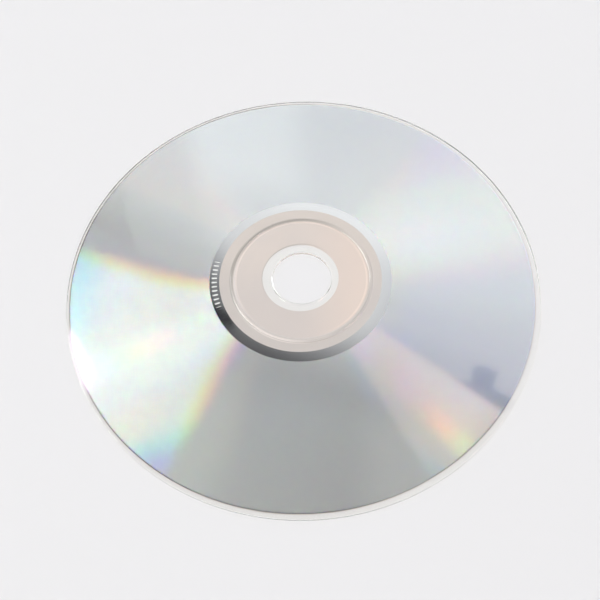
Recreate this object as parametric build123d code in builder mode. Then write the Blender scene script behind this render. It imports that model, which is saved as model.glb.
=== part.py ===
"""Compact disc, lying on its printed side with the read side up.

The disc is a clear moulding with two coats on its underside. A bright
reflective film is laid on first, through a ring-shaped mask, and a lacquer and
ink coat is then spread over the film and a little beyond it. Nothing moves and
nothing comes apart, so the three pieces share one axis: +Z through the spindle
hole, with z = 0 on the printed face that the disc lies on.
All sizes are in millimetres.
"""

from build123d import *
import os

# The clear moulding
OUTER_DIAMETER = 120.0
HOLE_DIAMETER = 15.0
THICKNESS = 1.2            # from the printed face to the read face
RIM_ROUNDING = 0.25        # radius of both corners of the outer rim
HOLE_CHAMFER = 0.25        # both mouths of the spindle hole

# The raised ring on the read side, which keeps stacked discs from touching
RING_RADIUS = 17.7         # middle of the ring
RING_WIDTH = 1.4           # across its two feet
RING_HEIGHT = 0.2
RING_FLANK = 0.35          # how far each flank leans in over the height
RING_ROUNDING = 0.1        # radius along both edges of its crest

# The groove on the printed side, left by the clamp that held the stamper. It
# lies under the ring, so that the plate is nowhere thin
GROOVE_WIDTH = 0.8         # across its two lips
GROOVE_DEPTH = 0.15
GROOVE_FLANK = 0.12        # how far each side leans in over the depth

# The coats, each drawn thicker than the real film
FILM_THICKNESS = 0.02      # reflective film
INK_THICKNESS = 0.03       # lacquer and ink below the film
BOND_LINE = 0.005          # clearance between one layer and the next

# The masks sat a little off the disc's centre, so the coats do too
MASK_CENTRE = (-0.36, 0.38)
FILM_SETBACK = 2.75        # from the groove's outer lip to the film's inner edge
FILM_MARGIN = 1.0          # from the film's outer edge to the rim
INK_MARGIN = 0.85          # from the ink's outer edge to the rim
INK_SETBACK = 2.3          # from the spindle hole to the ink's inner edge

# Levels and radii that follow from the sizes above
film_floor = INK_THICKNESS + BOND_LINE
ink_roof = film_floor + FILM_THICKNESS
underside = ink_roof + BOND_LINE
outer_radius = OUTER_DIAMETER / 2
hole_radius = HOLE_DIAMETER / 2
film_outer_radius = outer_radius - FILM_MARGIN
film_inner_radius = RING_RADIUS + GROOVE_WIDTH / 2 + FILM_SETBACK
ink_outer_radius = outer_radius - INK_MARGIN
ink_inner_radius = hole_radius + INK_SETBACK


def ring_section(middle, width, flank, mouth, crest):
    """Corners of a ring's section: `width` across at the mouth, a flank narrower each side at the crest."""
    half = width / 2
    return [
        (middle - half, mouth),
        (middle + half, mouth),
        (middle + half - flank, crest),
        (middle - half + flank, crest),
    ]


# The clear disc: one turned section with a rounded rim and a chamfered hole
with BuildPart() as clear_disc:
    with BuildSketch(Plane.XZ) as plate:
        Polygon(
            (hole_radius, underside),
            (outer_radius, underside),
            (outer_radius, THICKNESS),
            (hole_radius, THICKNESS),
        )
        fillet(plate.vertices().group_by(Axis.X)[-1], radius=RIM_ROUNDING)
        chamfer(plate.vertices().group_by(Axis.X)[0], length=HOLE_CHAMFER)
    revolve(axis=Axis.Z)

    # stacking ring, grown out of the read face
    with BuildSketch(Plane.XZ) as ring:
        Polygon(ring_section(RING_RADIUS, RING_WIDTH, RING_FLANK, THICKNESS, THICKNESS + RING_HEIGHT))
        fillet(ring.vertices().group_by(Axis.Y)[-1], radius=RING_ROUNDING)
    revolve(axis=Axis.Z)

    # clamp groove, cut into the underside
    with BuildSketch(Plane.XZ):
        Polygon(ring_section(RING_RADIUS, GROOVE_WIDTH, GROOVE_FLANK, underside, underside + GROOVE_DEPTH))
    revolve(axis=Axis.Z, mode=Mode.SUBTRACT)

clear_disc.part.label = "clear_disc"

# The reflective film: a flat ring against the underside, inside the rim
with BuildPart() as reflective_film:
    with BuildSketch(Plane.XY.offset(film_floor)):
        with Locations(MASK_CENTRE):
            Circle(film_outer_radius)
            Circle(film_inner_radius, mode=Mode.SUBTRACT)
    extrude(amount=FILM_THICKNESS)

reflective_film.part.label = "reflective_film"

# The lacquer and ink coat: it closes round both edges of the film
with BuildPart() as printed_coat:
    with BuildSketch():
        with Locations(MASK_CENTRE):
            Circle(ink_outer_radius)
            Circle(ink_inner_radius, mode=Mode.SUBTRACT)
    extrude(amount=ink_roof)

    # seat of the reflective film
    with BuildSketch(Plane.XY.offset(INK_THICKNESS)):
        with Locations(MASK_CENTRE):
            Circle(film_outer_radius + BOND_LINE)
            Circle(film_inner_radius - BOND_LINE, mode=Mode.SUBTRACT)
    extrude(amount=ink_roof - INK_THICKNESS, mode=Mode.SUBTRACT)

    # the coat lines the clamp groove, and leaves the same groove on its own face
    lining_width = GROOVE_WIDTH - 2 * BOND_LINE
    hollow_width = lining_width - 2 * ink_roof
    with BuildSketch(Plane.XZ):
        Polygon(ring_section(RING_RADIUS, lining_width, GROOVE_FLANK, ink_roof, ink_roof + GROOVE_DEPTH))
    revolve(axis=Axis.Z)
    with BuildSketch(Plane.XZ):
        Polygon(ring_section(RING_RADIUS, hollow_width, GROOVE_FLANK, 0, GROOVE_DEPTH))
    revolve(axis=Axis.Z, mode=Mode.SUBTRACT)

printed_coat.part.label = "printed_coat"

os.makedirs("parts", exist_ok=True)
export_step(clear_disc.part, "parts/clear_disc.step")
export_step(reflective_film.part, "parts/reflective_film.step")
export_step(printed_coat.part, "parts/printed_coat.step")
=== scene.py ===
# %% [markdown]
# # A compact disc, read side up
# A compact disc is a clear moulded plate with a bright film on its underside
# and a coat of lacquer and ink over the film. Almost everything that the eye
# sees in it is light that has gone through the plate, met the film and come
# back. So the three pieces are simple turned forms, and most of this lesson
# is about how they treat light.
#
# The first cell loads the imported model. It is a fixed frame in metres, with
# +Z up, and every piece made below goes where that frame says.

# %% Load the frame
import math

import bmesh
import bpy
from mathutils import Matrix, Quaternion, Vector


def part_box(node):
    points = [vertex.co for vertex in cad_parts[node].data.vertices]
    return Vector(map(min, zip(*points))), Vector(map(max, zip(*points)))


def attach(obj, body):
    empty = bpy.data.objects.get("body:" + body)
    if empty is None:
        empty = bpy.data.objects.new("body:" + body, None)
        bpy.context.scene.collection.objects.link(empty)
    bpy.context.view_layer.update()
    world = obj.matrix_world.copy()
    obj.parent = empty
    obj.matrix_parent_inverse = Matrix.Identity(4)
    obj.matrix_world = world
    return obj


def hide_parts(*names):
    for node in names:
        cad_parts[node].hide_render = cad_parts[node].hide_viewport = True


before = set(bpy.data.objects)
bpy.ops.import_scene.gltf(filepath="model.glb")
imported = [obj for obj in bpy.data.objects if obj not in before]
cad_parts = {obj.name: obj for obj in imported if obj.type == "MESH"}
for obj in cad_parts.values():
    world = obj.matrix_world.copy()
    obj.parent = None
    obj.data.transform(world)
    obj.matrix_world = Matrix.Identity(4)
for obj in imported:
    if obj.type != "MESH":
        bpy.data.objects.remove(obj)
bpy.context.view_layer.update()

MM = 0.001
plate_low, plate_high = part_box("clear_disc")
film_low, film_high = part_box("reflective_film")
coat_low, coat_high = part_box("printed_coat")
print("nodes:", sorted(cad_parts))
print("plate, mm:", [round(v / MM, 3) for v in (*plate_low, *plate_high)])
print("film, mm:", [round(v / MM, 3) for v in (*film_low, *film_high)])
print("coat, mm:", [round(v / MM, 3) for v in (*coat_low, *coat_high)])

# %% [markdown]
# ## The camera
# The disc is seen from its near side, about 60 degrees up and 175 mm away,
# with a standard lens. Three facts place a camera: where it stands, what it
# looks at and how far it is rolled. Track quaternions turn the first two into
# a rotation, and the roll is a last small turn about the camera's own axis.

# %% Place the camera
CAMERA_PLACE = Vector((4.8, -87.15, 153.4)) * MM
CAMERA_AIM = Vector((-0.38, -5.95, 0.0)) * MM
CAMERA_ROLL = math.radians(-3.23)
LENS = 41.2                # mm, on Blender's 36 mm sensor
NEAREST_SEEN = 5 * MM

camera_data = bpy.data.cameras.new("camera")
camera_data.lens = LENS
camera_data.clip_start = NEAREST_SEEN
camera = bpy.data.objects.new("camera", camera_data)
bpy.context.scene.collection.objects.link(camera)
facing = (CAMERA_AIM - CAMERA_PLACE).to_track_quat("-Z", "Y")
camera.rotation_mode = "QUATERNION"
camera.rotation_quaternion = facing @ Quaternion((0, 0, 1), CAMERA_ROLL)
camera.location = CAMERA_PLACE
bpy.context.scene.camera = camera
bpy.context.scene.view_settings.view_transform = "Standard"
print("camera distance, mm:", round((CAMERA_PLACE - CAMERA_AIM).length / MM, 1))

# %% [markdown]
# ## Small helpers for nodes
# A material here is a few dozen nodes. Written out one call at a time, they
# bury the idea, so a few helpers carry the routine: one feeds a socket with
# either a number or another node's output, one makes any node, and the rest
# make what is needed most: sums, smooth steps, mixed colours and materials.
# Constant numbers always end up on the socket that uses them.

# %% Node helpers
def feed(tree, socket, value):
    """Links an output to the socket, or writes a plain value on it."""
    if isinstance(value, bpy.types.NodeSocket):
        tree.links.new(value, socket)
    else:
        socket.default_value = value


def add_node(tree, kind, sockets=None, **settings):
    """Makes a node, with its settings and its input sockets by name or number."""
    made = tree.nodes.new("ShaderNode" + kind)
    for setting, value in settings.items():
        setattr(made, setting, value)
    for key, value in (sockets or {}).items():
        feed(tree, made.inputs[key], value)
    return made


def sums(tree, operation, *values):
    """One Math node."""
    return add_node(tree, "Math", dict(enumerate(values)), operation=operation).outputs[0]


def vector_sums(tree, operation, *values):
    """One Vector Math node. The operations that give a number have it on their second output."""
    made = add_node(tree, "VectorMath", dict(enumerate(values)), operation=operation)
    return made.outputs[1 if operation in ("DOT_PRODUCT", "LENGTH", "DISTANCE") else 0]


def ramp(tree, value, start, end, low=0.0, high=1.0):
    """Goes smoothly from low to high while value goes from start to end."""
    sockets = {"Value": value, "From Min": start, "From Max": end, "To Min": low, "To Max": high}
    return add_node(tree, "MapRange", sockets, interpolation_type="SMOOTHSTEP").outputs[0]


def tint(tree, factor, colour_a, colour_b):
    """Mixes two colours."""
    made = add_node(tree, "Mix", data_type="RGBA")
    for number, value in ((0, factor), (6, colour_a), (7, colour_b)):
        feed(tree, made.inputs[number], value)
    return made.outputs[2]


def new_material(name):
    """An empty material, and its node tree."""
    material = bpy.data.materials.new(name)
    material.use_nodes = True
    material.node_tree.nodes.clear()
    return material, material.node_tree


def finish_material(tree, shader):
    """Joins the last shader to the output."""
    add_node(tree, "OutputMaterial", {"Surface": shader})


# %% [markdown]
# ## The room
# A disc has hardly a colour of its own: it shows the room. The room is drawn
# here as a dome seen from straight above, with x to the right, y away from
# the camera and the horizon along the circle of radius 1. In that plan a
# flat mirror and a set of fine tracks are both simple shifts, which makes it
# easy to see which lamp gives which wedge of colour.
#
# The near side is dim. The far side is a pale wall, turned a little, which
# comes up softly out of the dark and is dimmer along its foot. How far away
# a direction looks is one dot product with the wall's own axis. The plan gets
# a 1 as its z, so that later dot products can carry an offset.

# %% Raise the far wall
FAR_WALL = (0.930, 0.948, 0.970)
NEAR_SIDE = (0.15, 0.15, 0.155)
WALL_TURN = math.radians(24)
WALL_STARTS = (0.32, 0.44)       # where the wall comes up out of the dark
WALL_CLEARS = (0.36, 0.56)       # where its dimmer foot ends
FOOT_LIGHT = 0.60

world = bpy.data.worlds.new("room")
bpy.context.scene.world = world
world.use_nodes = True
room = world.node_tree
room.nodes.clear()
direction = add_node(room, "TexCoord").outputs["Generated"]
flat_plan = vector_sums(room, "MULTIPLY", direction, (1.0, 1.0, 0.0))
plan = vector_sums(room, "ADD", flat_plan, (0.0, 0.0, 1.0))
wall_axis = (math.sin(WALL_TURN), math.cos(WALL_TURN), 0.0)
how_far = vector_sums(room, "DOT_PRODUCT", plan, wall_axis)
wall_up = ramp(room, how_far, *WALL_STARTS)
wall_clear = ramp(room, how_far, *WALL_CLEARS, FOOT_LIGHT, 1.0)
wall = sums(room, "MULTIPLY", wall_up, wall_clear)
glow = tint(room, wall, (*NEAR_SIDE, 1), (*FAR_WALL, 1))
print("wall turned by", round(math.degrees(WALL_TURN)), "degrees")

# %% [markdown]
# ## Windows, lamps and shade
# Panes of light stand in for the windows and the lamps, each with its own
# tint. A window or a lamp is seldom one even colour, so a few panes only
# shift a part of it towards red, violet or blue. Panes of shade take light
# away again, where something dark stands in front of the wall. Area lamps
# could do much of this too, but an outline on the plan is easier to place,
# because its wedge on the disc moves along with it.

# %% List the panes
DAYLIGHT = (0.935, 1.0, 0.92)
CORNER_LIGHT = (0.90, 0.65, 1.0)
LAMPLIGHT = (0.96, 0.87, 1.0)
WARM_LAMP = (1.0, 0.74, 0.60)
LAMP_RED = (0.0, -0.4, -1.0)        # takes blue away
LAMP_VIOLET = (0.2, -0.2, 1.0)
SKY_BLUE = (0.0, 0.0, 1.0)
COOL_WALL = (0.40, 0.68, 1.0)
COOL_TINGE = (-0.35, -0.2, 0.8)
NAVY_SHADE = (-1.0, -0.95, -0.75)
SHADE = (-1.0, -1.0, -1.0)
PANES = [
    # colour, strength, softness of the edge, corners on the plan
    # the window, its near corner, a dimmer part, two brighter ones, a bluer one and a blue fringe
    (DAYLIGHT, 8.0, 0.006, [
        (-0.345, 0.370), (-0.660, 0.560), (-0.688, 0.400),
        (-0.680, 0.150), (-0.600, -0.030), (-0.362, -0.030),
    ]),
    (CORNER_LIGHT, 5.0, 0.012, [
        (-0.356, 0.180), (-0.333, 0.300), (-0.325, 0.358), (-0.346, 0.394), (-0.362, 0.385),
    ]),
    (SHADE, 1.4, 0.020, [(-0.360, 0.160), (-0.360, -0.030), (-0.470, -0.030), (-0.520, 0.095)]),
    (DAYLIGHT, 7.0, 0.014, [(-0.600, 0.222), (-0.568, 0.256), (-0.536, 0.222), (-0.568, 0.188)]),
    (DAYLIGHT, 3.5, 0.012, [(-0.500, 0.290), (-0.474, 0.315), (-0.448, 0.290), (-0.474, 0.265)]),
    (SKY_BLUE, 1.8, 0.030, [(-0.560, 0.330), (-0.530, 0.500), (-0.620, 0.520), (-0.650, 0.330)]),
    (SKY_BLUE, 2.5, 0.020, [(-0.345, 0.120), (-0.335, 0.230), (-0.270, 0.240), (-0.270, 0.130)]),
    # more windows, further left
    (DAYLIGHT, 4.5, 0.010, [(-0.830, 0.210), (-0.740, 0.190), (-0.600, -0.030), (-0.820, -0.100)]),
    (DAYLIGHT, 8.0, 0.010, [(-0.880, 0.140), (-0.880, -0.040), (-0.940, -0.060), (-0.960, 0.100)]),
    (DAYLIGHT, 1.0, 0.060, [
        (-0.850, -0.350), (-0.400, -0.300), (-0.300, -0.650), (-0.620, -0.720),
    ]),
    # the lamp on the right, its warm, red and violet parts, its bright middle and one behind it
    (LAMPLIGHT, 2.8, 0.008, [
        (0.238, 0.085), (0.353, 0.221), (0.600, 0.060), (0.500, -0.120), (0.333, -0.080),
    ]),
    (WARM_LAMP, 1.6, 0.020, [(0.335, 0.020), (0.400, 0.190), (0.600, 0.060), (0.500, -0.120)]),
    (LAMP_RED, 1.0, 0.025, [
        (0.255, 0.040), (0.262, 0.110), (0.375, 0.205), (0.560, 0.060), (0.500, -0.080),
    ]),
    (LAMP_VIOLET, 1.8, 0.015, [(0.195, 0.160), (0.225, 0.125), (0.370, 0.250), (0.345, 0.290)]),
    (WARM_LAMP, 6.5, 0.008, [(0.392, -0.002), (0.432, 0.040), (0.461, 0.006), (0.421, -0.036)]),
    (WARM_LAMP, 2.8, 0.030, [(0.550, -0.220), (0.720, -0.140), (0.840, -0.300), (0.660, -0.380)]),
    # what the window and the lamps light on the walls
    (DAYLIGHT, 0.16, 0.040, [(0.070, 0.180), (0.220, 0.180), (0.220, 0.330), (0.070, 0.300)]),
    (DAYLIGHT, 0.16, 0.030, [(-0.030, 0.600), (-0.030, 0.800), (-0.230, 0.780), (-0.165, 0.600)]),
    (COOL_WALL, 0.5, 0.050, [(-0.300, 0.740), (0.450, 0.720), (0.350, 0.950), (-0.300, 0.950)]),
    (COOL_WALL, 0.5, 0.050, [(0.420, 0.420), (0.800, 0.350), (0.700, 0.720), (0.420, 0.800)]),
    (DAYLIGHT, 1.0, 0.060, [
        (-0.250, 0.100), (-0.250, -0.100), (-0.350, -0.180), (-0.470, -0.180), (-0.360, 0.100),
    ]),
    (DAYLIGHT, 0.9, 0.040, [(-0.360, 0.400), (-0.660, 0.570), (-0.660, 0.650), (-0.360, 0.490)]),
    (COOL_TINGE, 0.13, 0.020, [
        (0.108, 0.330), (0.112, 0.560), (0.160, 0.700), (0.450, 0.620), (0.450, 0.300),
    ]),
    (COOL_WALL, 1.2, 0.020, [(0.170, 0.140), (0.250, 0.200), (0.260, 0.080), (0.200, 0.060)]),
    # shade: the room's left edge, the foot of the wall and a few dark things on it
    (SHADE, 0.12, 0.005, [(-0.255, 0.500), (-0.285, 0.600), (-0.420, 0.600), (-0.258, 0.430)]),
    (SHADE, 0.15, 0.030, [(-0.205, 0.700), (-0.135, 0.480), (-0.330, 0.420), (-0.420, 0.660)]),
    (SHADE, 0.10, 0.030, [(-0.140, 0.520), (-0.130, 0.430), (-0.220, 0.400), (-0.250, 0.500)]),
    (SHADE, 0.15, 0.030, [(0.080, 0.520), (0.080, 0.380), (0.550, 0.300), (0.550, 0.480)]),
    (SHADE, 0.05, 0.030, [(-0.160, 0.420), (-0.160, 0.350), (0.060, 0.330), (0.060, 0.400)]),
    (SHADE, 0.35, 0.004, [(-0.160, 0.445), (-0.153, 0.457), (-0.124, 0.444), (-0.126, 0.431)]),
    (NAVY_SHADE, 0.40, 0.002, [
        (0.188, 0.358), (0.237, 0.343), (0.275, 0.319), (0.253, 0.309), (0.220, 0.334),
    ]),
    (NAVY_SHADE, 0.40, 0.002, [
        (0.211, 0.352), (0.215, 0.371), (0.228, 0.372), (0.247, 0.361), (0.238, 0.341),
    ]),
]
print("panes:", len(PANES))

# %% [markdown]
# ## From outlines to light
# Each pane is a convex outline: a direction lies inside it if it lies on the
# inner side of every edge. How deep it lies behind one edge is a dot product,
# the least of those depths says how far inside the outline it is, and one
# smooth step over it makes a mask with a soft border. One step for each pane
# is cheaper than one for each edge, and the room is looked up very often.

# %% Light the panes
def depth_inside(tree, plan, start, end):
    """How far a direction lies on the left of the line from start to end."""
    along = (Vector(end) - Vector(start)).normalized()
    inward = Vector((-along.y, along.x))
    return vector_sums(tree, "DOT_PRODUCT", plan, (*inward, -inward.dot(Vector(start))))


def pane_mask(tree, plan, corners, soft):
    """1 inside a convex outline, 0 outside it."""
    middle = sum((Vector(c) for c in corners), Vector((0, 0))) / len(corners)
    corners = sorted(corners, key=lambda c: math.atan2(c[1] - middle.y, c[0] - middle.x))
    depth = depth_inside(tree, plan, corners[-1], corners[0])
    for start, end in zip(corners, corners[1:]):
        depth = sums(tree, "MINIMUM", depth, depth_inside(tree, plan, start, end))
    return ramp(tree, depth, -soft, soft)


for colour, strength, soft, corners in PANES:
    lit = vector_sums(room, "SCALE", tuple(Vector(colour) * strength))
    feed(room, lit.node.inputs["Scale"], pane_mask(room, plan, corners, soft))
    glow = vector_sums(room, "ADD", glow, lit)
print("room nodes so far:", len(room.nodes))

# %% [markdown]
# ## Horizon and backdrop
# No part of the room is darker than a little stray light makes it, and the
# horizon is white all round, so that the disc's edge has something pale to
# show from any side. Seen straight past the disc, the room would only
# distract, so there the camera sees a plain pale backdrop that carries on
# from the table.

# %% Close the room
DARKEST = (0.03, 0.03, 0.035)
HORIZON = 0.93                   # the plan's radius at which the glow is half way up
HORIZON_SOFT = 0.05
HORIZON_GLOW = (0.95, 0.95, 0.98)
BACKDROP = (0.88, 0.88, 0.88, 1)

glow = vector_sums(room, "MAXIMUM", glow, DARKEST)
rim = vector_sums(room, "LENGTH", flat_plan)
rim = ramp(room, rim, HORIZON - HORIZON_SOFT, HORIZON + HORIZON_SOFT)
glow = tint(room, rim, glow, (*HORIZON_GLOW, 1))
seen_direct = add_node(room, "LightPath").outputs["Is Camera Ray"]
glow = tint(room, seen_direct, glow, BACKDROP)
background = add_node(room, "Background", {"Color": glow, "Strength": 1.0})
add_node(room, "OutputWorld", {"Surface": background.outputs[0]})
print("room nodes:", len(room.nodes))

# %% [markdown]
# ## The table
# The table is a plain white sheet, so wide that only a very low view shows
# where it ends. It lies a hundredth of a millimetre under the disc, because
# two faces in one plane flicker in a render.

# %% Lay the table
TABLE_REACH = 12.0
TABLE_GAP = 0.01 * MM
TABLE_WHITE = (0.806, 0.784, 0.796, 1)

table_mesh = bmesh.new()
bmesh.ops.create_grid(table_mesh, x_segments=1, y_segments=1, size=TABLE_REACH)
table_data = bpy.data.meshes.new("table")
table_mesh.to_mesh(table_data)
table_mesh.free()
table = bpy.data.objects.new("table", table_data)
table.location.z = coat_low.z - TABLE_GAP
bpy.context.scene.collection.objects.link(table)
table_paint, tree = new_material("white_table")
paint = add_node(tree, "BsdfPrincipled", {"Base Color": TABLE_WHITE, "Roughness": 0.7})
finish_material(tree, paint.outputs[0])
table_data.materials.append(table_paint)
print("table, m across:", 2 * TABLE_REACH)

# %% [markdown]
# ## Turned forms
# All three pieces are turned: one closed section, carried round the axis.
# A screw modifier could do it, but it turns everything about one point, and
# the two coats sit a little off the plate's centre. So each point of a
# section carries its own centre, and the loop below puts it on its circle.
#
# The corners that a mould rounds are rounded here too, by a helper that puts
# an arc in place of a corner. Wide flat faces next to small roundings shade
# badly when normals are averaged, so weighted normals let the flats lead.

# %% Helpers for turned forms
TURNS = 360
ARC_STEPS = 8
CREASE = math.radians(32)  # corners sharper than this stay sharp


def rounded(before, corner, after, radius, steps=ARC_STEPS):
    """The points of an arc that takes the place of a corner."""
    before, corner, after = Vector(before), Vector(corner), Vector(after)
    back = (before - corner).normalized()
    ahead = (after - corner).normalized()
    half = back.angle(ahead) / 2
    centre = corner + (back + ahead).normalized() * (radius / math.sin(half))
    start = (corner + back * (radius / math.tan(half)) - centre).normalized()
    end = (corner + ahead * (radius / math.tan(half)) - centre).normalized()
    turns = [start.slerp(end, step / steps) for step in range(steps + 1)]
    return [tuple(centre + turn * radius) for turn in turns]


def turned(name, section):
    """A closed ring. Its section is a loop of (radius, height, centre) in mm, anticlockwise."""
    mesh = bmesh.new()
    rings = []
    for step in range(TURNS):
        angle = 2 * math.pi * step / TURNS
        ring = []
        for radius, height, (x, y) in section:
            point = (x + radius * math.cos(angle), y + radius * math.sin(angle), height)
            ring.append(mesh.verts.new(Vector(point) * MM))
        rings.append(ring)
    for here, there in zip(rings, rings[1:] + rings[:1]):
        for low in range(len(section)):
            high = (low + 1) % len(section)
            mesh.faces.new((here[low], there[low], there[high], here[high]))
    data = bpy.data.meshes.new(name)
    mesh.to_mesh(data)
    mesh.free()
    data.shade_smooth()
    data.set_sharp_from_angle(angle=CREASE)
    piece = bpy.data.objects.new(name, data)
    bpy.context.scene.collection.objects.link(piece)
    lead = piece.modifiers.new("flats_lead", "WEIGHTED_NORMAL")
    lead.keep_sharp = True
    print(name, "faces:", len(data.polygons))
    return piece


print("degrees between turns:", 360 / TURNS)

# %% [markdown]
# ## The clear plate
# The plate is moulded in one shot of clear polycarbonate, 1.2 mm thick. Its
# rim is rounded, both mouths of the spindle hole are chamfered, a low ring
# stands on the read side so that stacked discs don't rub, and under that ring
# is the groove left by the clamp of the mould. These few steps of a tenth of
# a millimetre draw the bright and dark lines round the hub, so they are
# modelled as shapes; the lines that they throw onto the coat are painted
# light and shade in the ink. Sizes are in millimetres here, as on a maker's drawing.

# %% Turn the clear plate
DISC_CENTRE = (0.0, 0.0)
MASK_CENTRE = (-0.36, 0.38)     # the coats' own centre
OUTER_RADIUS = plate_high.x / MM
HOLE_RADIUS = 7.5
UNDERSIDE = plate_low.z / MM
READ_FACE = 1.2
RIM_ROUNDING = 0.25
HOLE_CHAMFER = 0.25
RING_RADIUS = 17.7
RING_WIDTH = 1.4
RING_FLANK = 0.35
RING_CREST = plate_high.z / MM
RING_ROUNDING = 0.1
GROOVE_WIDTH = 0.8
GROOVE_FLANK = 0.12
GROOVE_DEPTH = 0.15


def groove(width, floor, depth):
    """A groove's two sides and its bottom, seen from below, from the inner lip to the outer one."""
    half = width / 2
    return [
        (RING_RADIUS - half, floor),
        (RING_RADIUS - half + GROOVE_FLANK, floor + depth),
        (RING_RADIUS + half - GROOVE_FLANK, floor + depth),
        (RING_RADIUS + half, floor),
    ]


rim_low = (OUTER_RADIUS, UNDERSIDE)
rim_high = (OUTER_RADIUS, READ_FACE)
outer_foot = (RING_RADIUS + RING_WIDTH / 2, READ_FACE)
inner_foot = (RING_RADIUS - RING_WIDTH / 2, READ_FACE)
outer_crest = (outer_foot[0] - RING_FLANK, RING_CREST)
inner_crest = (inner_foot[0] + RING_FLANK, RING_CREST)
plate_section = [
    (HOLE_RADIUS, UNDERSIDE + HOLE_CHAMFER),
    (HOLE_RADIUS + HOLE_CHAMFER, UNDERSIDE),
    *groove(GROOVE_WIDTH, UNDERSIDE, GROOVE_DEPTH),
    *rounded((HOLE_RADIUS, UNDERSIDE), rim_low, rim_high, RIM_ROUNDING),
    *rounded(rim_low, rim_high, outer_foot, RIM_ROUNDING),
    outer_foot,
    *rounded(outer_foot, outer_crest, inner_crest, RING_ROUNDING),
    *rounded(outer_crest, inner_crest, inner_foot, RING_ROUNDING),
    inner_foot,
    (HOLE_RADIUS + HOLE_CHAMFER, READ_FACE),
    (HOLE_RADIUS, READ_FACE - HOLE_CHAMFER),
]
plate = turned("clear_plate", [(r, z, DISC_CENTRE) for r, z in plate_section])

# %% [markdown]
# ## The film and the printed coat
# The film is laid onto the plate through a ring-shaped mask, and lacquer and
# ink then close over both of its edges. So the coat has a shallow seat that
# the film lies in, and it lines the groove as well.
#
# Both layers are bonded to the plate. That matters in a render: light has to
# pass from plastic straight into the film, and even a thin sheet of air
# between them would turn the plate into a loose window lying on a mirror. So
# the coat reaches two micrometres into the plate and the film three, and a
# ray inside the plastic meets them before it meets the plate's own underside.

# %% Turn the film and the printed coat
FILM_REACH = 0.003              # how far each layer reaches into the plate
COAT_REACH = 0.002
FILM_OUTER = 59.0
FILM_INNER = 20.85
COAT_OUTER = 59.15
COAT_INNER = 9.8
SEAT_FLOOR = 0.03
SEAT_GAP = 0.005
COAT_THICKNESS = 0.055

film_top = UNDERSIDE + FILM_REACH
film_bottom = film_low.z / MM
film_section = [
    (FILM_INNER, film_bottom),
    (FILM_OUTER, film_bottom),
    (FILM_OUTER, film_top),
    (FILM_INNER, film_top),
]
film = turned("bright_film", [(r, z, MASK_CENTRE) for r, z in film_section])

coat_top = UNDERSIDE + COAT_REACH
lining = groove(GROOVE_WIDTH, coat_top, GROOVE_DEPTH)
hollow = groove(GROOVE_WIDTH - 2 * COAT_THICKNESS, 0.0, GROOVE_DEPTH)
coat_section = [(COAT_INNER, 0.0, MASK_CENTRE)]
coat_section += [(r, z, DISC_CENTRE) for r, z in hollow]
coat_section += [(COAT_OUTER, 0.0, MASK_CENTRE), (COAT_OUTER, coat_top, MASK_CENTRE)]
seat_outer = FILM_OUTER + SEAT_GAP
seat_inner = FILM_INNER - SEAT_GAP
for radius, height in (
    (seat_outer, coat_top),
    (seat_outer, SEAT_FLOOR),
    (seat_inner, SEAT_FLOOR),
    (seat_inner, coat_top),
):
    coat_section.append((radius, height, MASK_CENTRE))
coat_section += [(r, z, DISC_CENTRE) for r, z in reversed(lining)]
coat_section.append((COAT_INNER, coat_top, MASK_CENTRE))
coat = turned("ink_coat", coat_section)

# %% [markdown]
# ## Clear polycarbonate
# Polycarbonate bends light a little more than window glass does: its index is
# 1.58. Handling leaves its read face with a few smears and faint hairlines,
# which show only as a slight loss of gloss. Both are noise in the roughness:
# broad noise for the smears, and noise drawn out into long thin cells for the
# hairlines.
#
# Bent light has one drawback. A lamp can't be found by aiming at it through
# plastic, so whatever lies under a bending plate renders too dark. The rays
# that only carry light down to the coat and the table therefore meet a plain
# tinted pane, which they cross straight, and all other rays are bent.

# %% Make the clear polycarbonate
PLASTIC_IOR = 1.58
PLASTIC_TINT = (0.988, 0.985, 0.973, 1)
SMEAR_CELLS = 60.0                      # cells a metre
SMEAR_NOISE = (0.55, 0.80)              # the noise at which a smear starts, and is full
SMEAR_ROUGHNESS = 0.05
HAIRLINE_TURN = (0.0, 0.0, math.radians(38))
HAIRLINE_CELLS = (22.0, 1500.0, 1.0)    # cells a metre, along and across the hairlines
HAIRLINE_NOISE = (0.68, 0.74)
HAIRLINE_ROUGHNESS = 0.06

clear_plastic, tree = new_material("clear_polycarbonate")
place = add_node(tree, "TexCoord").outputs["Object"]
smear = add_node(tree, "TexNoise", {"Vector": place, "Scale": SMEAR_CELLS, "Detail": 4.0})
smear = smear.outputs[0]
drawn_out = add_node(tree, "Mapping", {
    "Vector": place,
    "Rotation": HAIRLINE_TURN,
    "Scale": HAIRLINE_CELLS,
}).outputs[0]
hairline = add_node(tree, "TexNoise", {"Vector": drawn_out, "Scale": 1.0, "Detail": 1.0}).outputs[0]
smears = ramp(tree, smear, *SMEAR_NOISE, 0.0, SMEAR_ROUGHNESS)
hairlines = ramp(tree, hairline, *HAIRLINE_NOISE, 0.0, HAIRLINE_ROUGHNESS)
gloss = sums(tree, "ADD", smears, hairlines)
plastic = add_node(tree, "BsdfPrincipled", {
    "Base Color": PLASTIC_TINT,
    "Roughness": gloss,
    "IOR": PLASTIC_IOR,
    "Transmission Weight": 1.0,
})
open_way = add_node(tree, "BsdfTransparent", {"Color": PLASTIC_TINT})
ray = add_node(tree, "LightPath").outputs
lights_coat = sums(tree, "MAXIMUM", ray["Is Shadow Ray"], ray["Is Diffuse Ray"])
finish = add_node(tree, "MixShader", {
    0: lights_coat,
    1: plastic.outputs[0],
    2: open_way.outputs[0],
})
finish_material(tree, finish.outputs[0])
plate.data.materials.append(clear_plastic)
print("plastic nodes:", len(tree.nodes))

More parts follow.
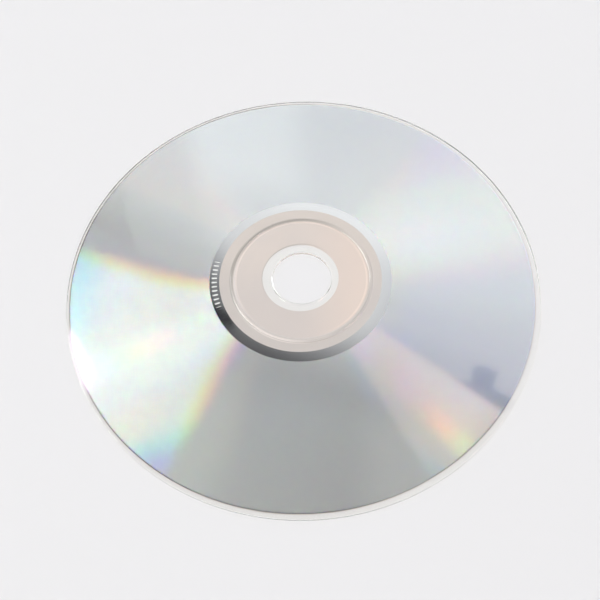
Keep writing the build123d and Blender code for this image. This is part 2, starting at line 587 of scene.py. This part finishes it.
# %% [markdown]
# ## The bright film and its tracks
# The film is a mirror, but it is pressed over a spiral of tracks 1.6
# micrometres apart. Such fine lines send part of the light off to each side
# of the mirror direction, each colour by its own angle, and that makes the
# wedges of colour. A painted rainbow would stay put when the camera moves, so
# the finish has to split the light by itself.
#
# A render has no wavelengths, so the light is cut into a few slices of the
# spectrum. For one slice, a track acts like a mirror that is tilted a little
# towards the disc's centre or away from it. Each slice is therefore a glossy
# shader with the slice's colour and a tilted normal, and the slices of one
# order add up to white. The tilt follows from the grating rule, worked out
# inside the plastic, where the light meets the film.

# %% Cut the spectrum into slices
TRACK_PITCH = 1600.0       # nanometres
COSINE_IN_PLASTIC = 0.95   # of the usual angle of light inside the plate


def bell(value, middle, width):
    """A bell curve."""
    return math.exp(-0.5 * ((value - middle) / width) ** 2)


def eye_response(wavelength):
    """How much red, green and blue the eye takes from one wavelength."""
    red = bell(wavelength, 605, 25) + 0.12 * bell(wavelength, 440, 15)
    green = bell(wavelength, 542, 26)
    blue = bell(wavelength, 455, 22)
    return Vector((red, green, blue))


def spectrum(count, shortest=430.0, longest=670.0):
    """Wavelengths and their colours, which add up to white."""
    step = (longest - shortest) / (count - 1)
    waves = [shortest + step * number for number in range(count)]
    colours = [eye_response(wave) for wave in waves]
    total = sum(colours, Vector((0, 0, 0)))
    parts = [Vector([part / whole for part, whole in zip(colour, total)]) for colour in colours]
    return list(zip(waves, parts))


def track_slope(order, wavelength):
    """The tangent of the tilt that sends this wavelength where the tracks send it."""
    sine = order * wavelength / (2 * TRACK_PITCH * PLASTIC_IOR * COSINE_IN_PLASTIC)
    return math.tan(math.asin(sine))


for wave, _ in spectrum(4):
    tilt = math.degrees(math.atan(track_slope(1, wave)))
    print(round(wave), "nm tilts", round(tilt, 1), "degrees")

# %% [markdown]
# ## Where the tracks are
# The tracks don't cover all of the film. They leave a band at its inner edge
# and a thin line at its outer edge, and both are plain mirror. So the finish
# needs to know two things about each point: how far out it is, and which way
# is outwards. Both are measured from the mask's centre, not from the hole's.

# %% Find the tracks
TRACKS_START = 23.38 * MM
TRACKS_END = 58.80 * MM
TRACK_EDGE = 0.02 * MM

film_finish, tree = new_material("tracked_bright_film")
place = add_node(tree, "TexCoord").outputs["Object"]
from_centre = vector_sums(tree, "SUBTRACT", place, (*(Vector(MASK_CENTRE) * MM), 0.0))
from_centre = vector_sums(tree, "MULTIPLY", from_centre, (1.0, 1.0, 0.0))
radius = vector_sums(tree, "LENGTH", from_centre)
outward = vector_sums(tree, "NORMALIZE", from_centre)
inside = ramp(tree, radius, TRACKS_START - TRACK_EDGE, TRACKS_START + TRACK_EDGE)
outside = ramp(tree, radius, TRACKS_END - TRACK_EDGE, TRACKS_END + TRACK_EDGE, 1.0, 0.0)
tracked = sums(tree, "MULTIPLY", inside, outside)
print("tracks, mm:", round(TRACKS_START / MM, 2), "to", round(TRACKS_END / MM, 2))

# %% [markdown]
# ## The plain mirror and its bars
# A mirror of aluminium is a metal with hardly any roughness. Over the tracks
# it is a shade bluer, because the pits take a little warm light out of it.
# A row of short matt bars, all alike, is etched into the inner band. They
# could be thin pieces of their own, but etching has no height, so a mask in
# the finish does it: a ping-pong of the angle gives the bars' rhythm, and
# four comparisons cut the row to size.

# %% Make the mirror and the bars
MIRROR_COLOUR = (0.90, 0.905, 0.91, 1)
TRACKS_COLOUR = (0.895, 0.907, 0.918, 1)
MIRROR_ROUGHNESS = 0.04
BARS_START = math.radians(-12)   # the row's ends, from due left
BARS_END = math.radians(23)
BAR_PITCH = math.radians(3.2)
BAR_WIDTH = math.radians(1.1)
BAR_SOFT = math.radians(0.2)
BARS_INNER = 21.5 * MM
BARS_OUTER = 22.8 * MM
ETCHED_GREY = (0.75, 0.75, 0.74, 1)


def bars(tree, place, radius):
    """1 on a row of short radial bars, all alike, and 0 round them."""
    from_left = vector_sums(tree, "MULTIPLY", place, (-1.0, -1.0, 1.0))
    parts = add_node(tree, "SeparateXYZ", {0: from_left}).outputs
    turn = sums(tree, "ARCTAN2", parts[1], parts[0])
    step = sums(tree, "PINGPONG", sums(tree, "SUBTRACT", turn, BARS_START), BAR_PITCH / 2)
    edge = BAR_WIDTH / 2
    mask = ramp(tree, step, edge - BAR_SOFT, edge + BAR_SOFT, 1.0, 0.0)
    for value, start, end in ((turn, BARS_START, BARS_END), (radius, BARS_INNER, BARS_OUTER)):
        mask = sums(tree, "MULTIPLY", mask, sums(tree, "GREATER_THAN", value, start))
        mask = sums(tree, "MULTIPLY", mask, sums(tree, "LESS_THAN", value, end))
    return mask


mirror = add_node(tree, "BsdfPrincipled", {
    "Base Color": tint(tree, tracked, MIRROR_COLOUR, TRACKS_COLOUR),
    "Metallic": 1.0,
    "Roughness": MIRROR_ROUGHNESS,
})
etched = add_node(tree, "BsdfPrincipled", {
    "Base Color": ETCHED_GREY,
    "Metallic": 0.3,
    "Roughness": 0.5,
})
barred = bars(tree, from_centre, radius)
print("bars:", round((BARS_END - BARS_START) / BAR_PITCH))

# %% [markdown]
# ## A lobe for every slice
# Each slice of each order is one glossy shader, a lobe, on each side of the
# mirror direction. Higher orders are weaker and more blurred, so they need
# fewer slices. A broad haze comes first, because the pits along a track have
# random lengths and scatter light all round.

# %% Make the lobes
HAZE_COLOUR = (0.98, 1.0, 1.01, 1)
HAZE_SHARE = 0.225
HAZE_ROUGHNESS = 0.46
ORDERS = [
    # order, strength on each side, slices, roughness
    (1, 0.070, 11, 0.065),
    (2, 0.021, 6, 0.09),
    (3, 0.009, 3, 0.15),
]

surface = add_node(tree, "NewGeometry").outputs["Normal"]


def tilted(slope):
    """The surface's normal, leaning outwards by a slope."""
    lean = vector_sums(tree, "SCALE", outward)
    feed(tree, lean.node.inputs["Scale"], slope)
    return vector_sums(tree, "NORMALIZE", vector_sums(tree, "ADD", surface, lean))


haze = add_node(tree, "BsdfAnisotropic", {"Color": HAZE_COLOUR, "Roughness": HAZE_ROUGHNESS})
lobes = [(HAZE_SHARE, haze.outputs[0])]
for order, strength, slices, roughness in ORDERS:
    for wave, colour in spectrum(slices):
        peak = max(colour)
        for side in (1, -1):
            lobe = add_node(tree, "BsdfAnisotropic", {
                "Color": (*(colour / peak), 1),
                "Roughness": roughness,
                "Normal": tilted(side * track_slope(order, wave)),
            })
            lobes.append((strength * peak, lobe.outputs[0]))
print("lobes:", len(lobes))

# %% [markdown]
# ## Mixing by shares
# Every lobe has a share of the light, and so has the plain mirror. A chain
# of Mix Shaders adds them in turn. A mix with the factor w / (sum so far)
# gives each lobe its own share w of the whole, whatever the order is.

# %% Mix the film's finish
MIRROR_SHARE = 0.59

shares = MIRROR_SHARE
tracks = mirror.outputs[0]
for share, lobe in lobes:
    shares += share
    tracks = add_node(tree, "MixShader", {0: share / shares, 1: tracks, 2: lobe}).outputs[0]
bare = add_node(tree, "MixShader", {0: tracked, 1: mirror.outputs[0], 2: tracks}).outputs[0]
finish = add_node(tree, "MixShader", {0: barred, 1: bare, 2: etched.outputs[0]})
finish_material(tree, finish.outputs[0])
film.data.materials.append(film_finish)
print("all shares:", round(shares, 3))

# %% [markdown]
# ## Lacquer and ink
# Seen through the hub, the printed coat shows its back: a plain pinkish beige,
# a little uneven, as ink is where it was squeezed onto lacquer. Light is
# painted in as well: painted warm light on the right, where a warm wall lights
# it, and painted shade on the near side. The coat is also greyer outside the
# ring. A soft noise gives the unevenness, and smooth steps across the coat
# carry one shade into the next, so that no edge shows between them.

# %% Mix the ink's shades
INK = (0.665, 0.585, 0.552, 1)
INK_THIN = (0.690, 0.600, 0.562, 1)
# painted warm light on the coat's right side, from a warm wall
INK_WARM_LIGHT = (0.745, 0.615, 0.556, 1)
# painted shade on the coat's near side
INK_NEAR_SHADED = (0.635, 0.562, 0.540, 1)
INK_OUTER = (0.645, 0.572, 0.535, 1)
# painted shade on the near side, outside the ring
INK_OUTER_NEAR_SHADED = (0.605, 0.546, 0.526, 1)
PATCH_CELLS = 90.0               # cells a metre
PATCH_NOISE = (0.35, 0.65)       # the noise at which the ink turns thin
WARM_LIGHT_FROM = -2.0 * MM            # from left to right
WARM_LIGHT_TO = 16.0 * MM
NEAR_SHADE_FROM = 9.0 * MM             # from the far side to the near one
NEAR_SHADE_TO = -7.0 * MM
OUTER_FROM = 16.9 * MM           # from the hole outwards
OUTER_TO = 17.6 * MM
LINES_CENTRE = (-0.02, 0.30)     # mm, the middle of the raised ring's lines

ink_finish, tree = new_material("beige_ink")
place = add_node(tree, "TexCoord").outputs["Object"]
patches = add_node(tree, "TexNoise", {"Vector": place, "Scale": PATCH_CELLS, "Detail": 5.0})
patches = patches.outputs[0]
from_ring = vector_sums(tree, "SUBTRACT", place, (*(Vector(LINES_CENTRE) * MM), 0.0))
from_ring = vector_sums(tree, "MULTIPLY", from_ring, (1.0, 1.0, 0.0))
ring_radius = vector_sums(tree, "LENGTH", from_ring)
ways = add_node(tree, "SeparateXYZ", {0: place}).outputs
warm_light = ramp(tree, ways[0], WARM_LIGHT_FROM, WARM_LIGHT_TO)
near_shade = ramp(tree, ways[1], NEAR_SHADE_FROM, NEAR_SHADE_TO)
outer = ramp(tree, ring_radius, OUTER_FROM, OUTER_TO)
ink = tint(tree, ramp(tree, patches, *PATCH_NOISE), INK, INK_THIN)
# painted shade, growing from the far side to the near one
ink = tint(tree, near_shade, ink, INK_NEAR_SHADED)
# painted warm light, growing from left to right
ink = tint(tree, warm_light, ink, INK_WARM_LIGHT)
ink = tint(tree, outer, ink, tint(tree, near_shade, INK_OUTER, INK_OUTER_NEAR_SHADED))
print("ink nodes so far:", len(tree.nodes))

# %% [markdown]
# ## Light under the raised ring
# The raised ring bends light onto the coat in bright and dark lines. The
# plain pane that lights the coat can't do that, so the lines are painted here
# as painted highlights and painted shade: each one is a circle that fades out
# away from the side where it shows. The last of them is painted shade along
# the edge of the coat's own hole, on one side only.

# %% Paint the ring's lines
RING_LINES = [
    # radius, half width, the side where it shows, how far round it reaches, how much lighter
    (16.98, 0.38, 130, -0.4, 0.30),
    (17.45, 0.30, 185, 0.75, 0.32),
    (17.82, 0.46, 122, 0.10, -0.56),
    (18.30, 0.40, 190, 0.65, -0.42),
    (17.95, 0.38, 240, 0.75, 0.40),
    (18.48, 0.30, 240, 0.75, 0.32),
    (18.35, 0.30, 310, 0.40, 0.14),
    (16.65, 0.32, 350, 0.40, 0.16),
    (17.70, 0.35, 322, 0.80, -0.22),
    # painted shade along the edge of the coat's hole, on its upper left
    (10.10, 0.30, 130, 0.00, -0.30),
]

ring_way = vector_sums(tree, "NORMALIZE", from_ring)
light = 1.0
for middle, half, side, reach, gain in RING_LINES:
    angle = math.radians(side)
    towards = vector_sums(tree, "DOT_PRODUCT", ring_way, (math.cos(angle), math.sin(angle), 0.0))
    off_line = sums(tree, "ABSOLUTE", sums(tree, "SUBTRACT", ring_radius, middle * MM))
    line = ramp(tree, off_line, 0.0, half * MM, 1.0, 0.0)
    line = sums(tree, "MULTIPLY", line, ramp(tree, towards, reach, 1.0, 0.0, gain))
    light = sums(tree, "ADD", light, line)
lit_ink = vector_sums(tree, "SCALE", ink)
feed(tree, lit_ink.node.inputs["Scale"], light)
print("lines:", len(RING_LINES))

# %% [markdown]
# ## The coat's gloss
# Lacquer is satin and ink is duller where it is thin, so the same noise that
# mixes the shades also moves the roughness a little.

# %% Finish the printed coat
GLOSS_NOISE = (0.30, 0.70)
INK_ROUGHNESS = (0.35, 0.50)

paint = add_node(tree, "BsdfPrincipled", {
    "Base Color": lit_ink,
    "Roughness": ramp(tree, patches, *GLOSS_NOISE, *INK_ROUGHNESS),
})
finish_material(tree, paint.outputs[0])
coat.data.materials.append(ink_finish)
print("ink nodes:", len(tree.nodes))

# %% [markdown]
# ## Hand the pieces to the frame
# Each piece stands for its node and rides on the one body of the disc.

# %% Fit the pieces and finish
for piece, node, slot in (
    (plate, "clear_disc", "clear_plastic"),
    (film, "reflective_film", "reflective_film"),
    (coat, "printed_coat", "printed_coat"),
):
    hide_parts(node)
    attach(piece, "root")
